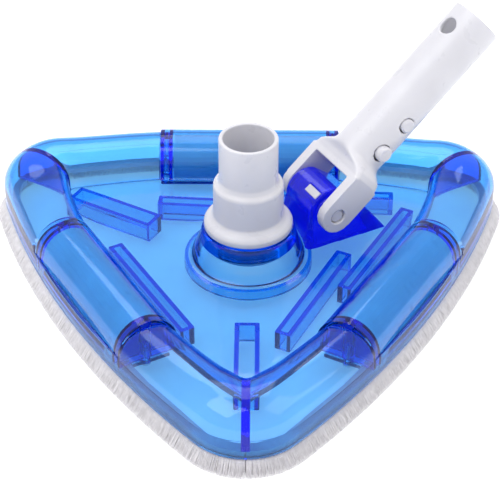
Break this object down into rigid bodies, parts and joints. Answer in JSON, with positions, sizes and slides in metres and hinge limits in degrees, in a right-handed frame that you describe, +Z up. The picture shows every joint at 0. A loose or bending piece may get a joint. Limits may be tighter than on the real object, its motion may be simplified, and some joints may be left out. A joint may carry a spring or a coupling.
{
  "type": "manual pool vacuum head",
  "caption": "Weighted triangular pool vacuum head with a clear blue body, brush skirt, swivel hose connector and hinged pole handle.",
  "frame": {"origin": "on the floor, under the middle of the whole object's box at rest", "axes": "+Z up; +Y from the pointed front corner towards the flat rear side, through the hose axis; +X to the right seen from the front, the side that the handle leans to"},
  "size_m": [0.2922, 0.2756, 0.1324],
  "materials": {
    "clear_blue": "clear tinted, polished",
    "deep_blue": "tinted, polished",
    "white_plastic": "smooth moulded, slightly glossy",
    "bristle": "fine nylon bristle",
    "weight_metal": "dull coated",
    "stainless": "brushed",
    "seal_rubber": "matte"
  },
  "bodies": {
    "head": {"body_shell": "clear_blue", "pivot_lug": "deep_blue", "weight_left": "weight_metal", "weight_right": "weight_metal", "weight_rear": "weight_metal", "weight_cover_left": "clear_blue", "weight_cover_right": "clear_blue", "weight_cover_rear": "clear_blue", "brush_holder_left": "white_plastic", "brush_holder_right": "white_plastic", "brush_holder_rear": "white_plastic", "bristles_left": "bristle", "bristles_right": "bristle", "bristles_rear": "bristle", "cover_screw_left_1": "stainless", "cover_screw_left_2": "stainless", "cover_screw_right_1": "stainless", "cover_screw_right_2": "stainless", "cover_screw_rear_1": "stainless", "cover_screw_rear_2": "stainless", "pivot_pin": "white_plastic", "pin_key": "white_plastic"},
    "connector": {"hose_connector": "white_plastic", "connector_retainer": "white_plastic", "connector_seal": "seal_rubber"},
    "handle": {"handle": "white_plastic", "clip_bend": "stainless"},
    "clip_front": {"clip_arm_front": "stainless", "clip_button_low_front": "white_plastic", "clip_button_high_front": "white_plastic"},
    "clip_back": {"clip_arm_back": "stainless", "clip_button_low_back": "white_plastic", "clip_button_high_back": "white_plastic"}
  },
  "joints": [
    {"name": "connector_swivel", "type": "hinge", "parent": "head", "child": "connector", "pos_m": [0, 0.02524, 0.06], "axis": [0, 0, 1], "continuous": true},
    {"name": "handle_pitch", "type": "hinge", "parent": "head", "child": "handle", "pos_m": [0.03793, 0.04714, 0.0375], "axis": [0.5, -0.866, 0], "range_deg": [-18, 55]},
    {"name": "clip_front_press", "type": "hinge", "parent": "handle", "child": "clip_front", "pos_m": [0.09674, 0.07705, 0.09278], "axis": [0.5567, 0.3214, -0.766], "range_deg": [0, 5], "stiffness_Nm_per_rad": 3},
    {"name": "clip_back_press", "type": "hinge", "parent": "handle", "child": "clip_back", "pos_m": [0.09324, 0.08311, 0.09278], "axis": [-0.5567, -0.3214, 0.766], "range_deg": [0, 5], "stiffness_Nm_per_rad": 3}
  ]
}
